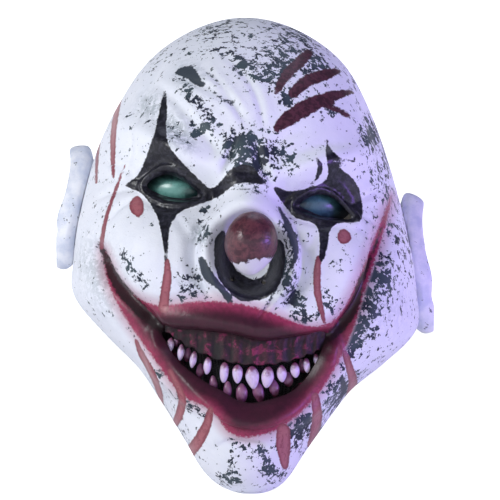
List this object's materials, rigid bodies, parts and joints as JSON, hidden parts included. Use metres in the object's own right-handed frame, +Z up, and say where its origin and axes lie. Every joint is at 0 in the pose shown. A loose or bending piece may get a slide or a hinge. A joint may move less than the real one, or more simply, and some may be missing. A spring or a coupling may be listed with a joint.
{
  "type": "latex halloween mask",
  "caption": "Full-head latex clown mask with grinning teeth, tinted eye lenses and a slit nape closed by a hook-and-loop strap.",
  "frame": {"origin": "under the middle of the mask's box, level with the underside of the chin", "axes": "+Z up from chin to crown, the face looks along -Y, +X is the wearer's left"},
  "size_m": [0.2342, 0.2498, 0.2915],
  "materials": {
    "white_latex": "satin",
    "nose_latex": "satin",
    "green_lens": "gloss",
    "gum_latex": "satin",
    "tooth_enamel": "gloss",
    "black_gauze": "matte",
    "black_tape": "matte",
    "hook_loop_tape": "matte"
  },
  "bodies": {
    "root": {"head_skin": "white_latex", "left_ear": "white_latex", "left_eye_lens": "green_lens", "lower_gum": "gum_latex", "lower_tooth_01": "tooth_enamel", "lower_tooth_02": "tooth_enamel", "lower_tooth_03": "tooth_enamel", "lower_tooth_04": "tooth_enamel", "lower_tooth_05": "tooth_enamel", "lower_tooth_06": "tooth_enamel", "lower_tooth_07": "tooth_enamel", "lower_tooth_08": "tooth_enamel", "lower_tooth_09": "tooth_enamel", "lower_tooth_10": "tooth_enamel", "mouth_gauze": "black_gauze", "nose_bulb": "nose_latex", "right_ear": "white_latex", "right_eye_lens": "green_lens", "upper_gum": "gum_latex", "upper_tooth_01": "tooth_enamel", "upper_tooth_02": "tooth_enamel", "upper_tooth_03": "tooth_enamel", "upper_tooth_04": "tooth_enamel", "upper_tooth_05": "tooth_enamel", "upper_tooth_06": "tooth_enamel", "upper_tooth_07": "tooth_enamel", "upper_tooth_08": "tooth_enamel", "upper_tooth_09": "tooth_enamel", "upper_tooth_10": "tooth_enamel", "upper_tooth_11": "tooth_enamel", "upper_tooth_12": "tooth_enamel"},
    "left_flap": {"left_nape_flap": "white_latex", "loop_patch": "hook_loop_tape"},
    "right_flap": {"right_nape_flap": "white_latex", "strap_anchor": "black_tape"},
    "strap": {"closure_strap": "black_tape", "hook_patch": "hook_loop_tape"}
  },
  "joints": [
    {"name": "left_flap_fold", "type": "hinge", "parent": "root", "child": "left_flap", "pos_m": [0.03945, 0.11702, 0.13324], "axis": [0.4332, -0.3672, -0.8231], "range_deg": [0, 50], "stiffness_Nm_per_rad": 0.3},
    {"name": "right_flap_fold", "type": "hinge", "parent": "root", "child": "right_flap", "pos_m": [-0.03945, 0.11702, 0.13324], "axis": [0.4332, 0.3672, 0.8231], "range_deg": [0, 50], "stiffness_Nm_per_rad": 0.3},
    {"name": "strap_peel", "type": "hinge", "parent": "right_flap", "child": "strap", "pos_m": [-0.006, 0.11817, 0.1135], "axis": [0, 0.3471, 0.9378], "range_deg": [0, 150]}
  ],
  "couplings": [
    {"joint": "right_flap_fold", "follows": "left_flap_fold", "ratio": 1}
  ]
}
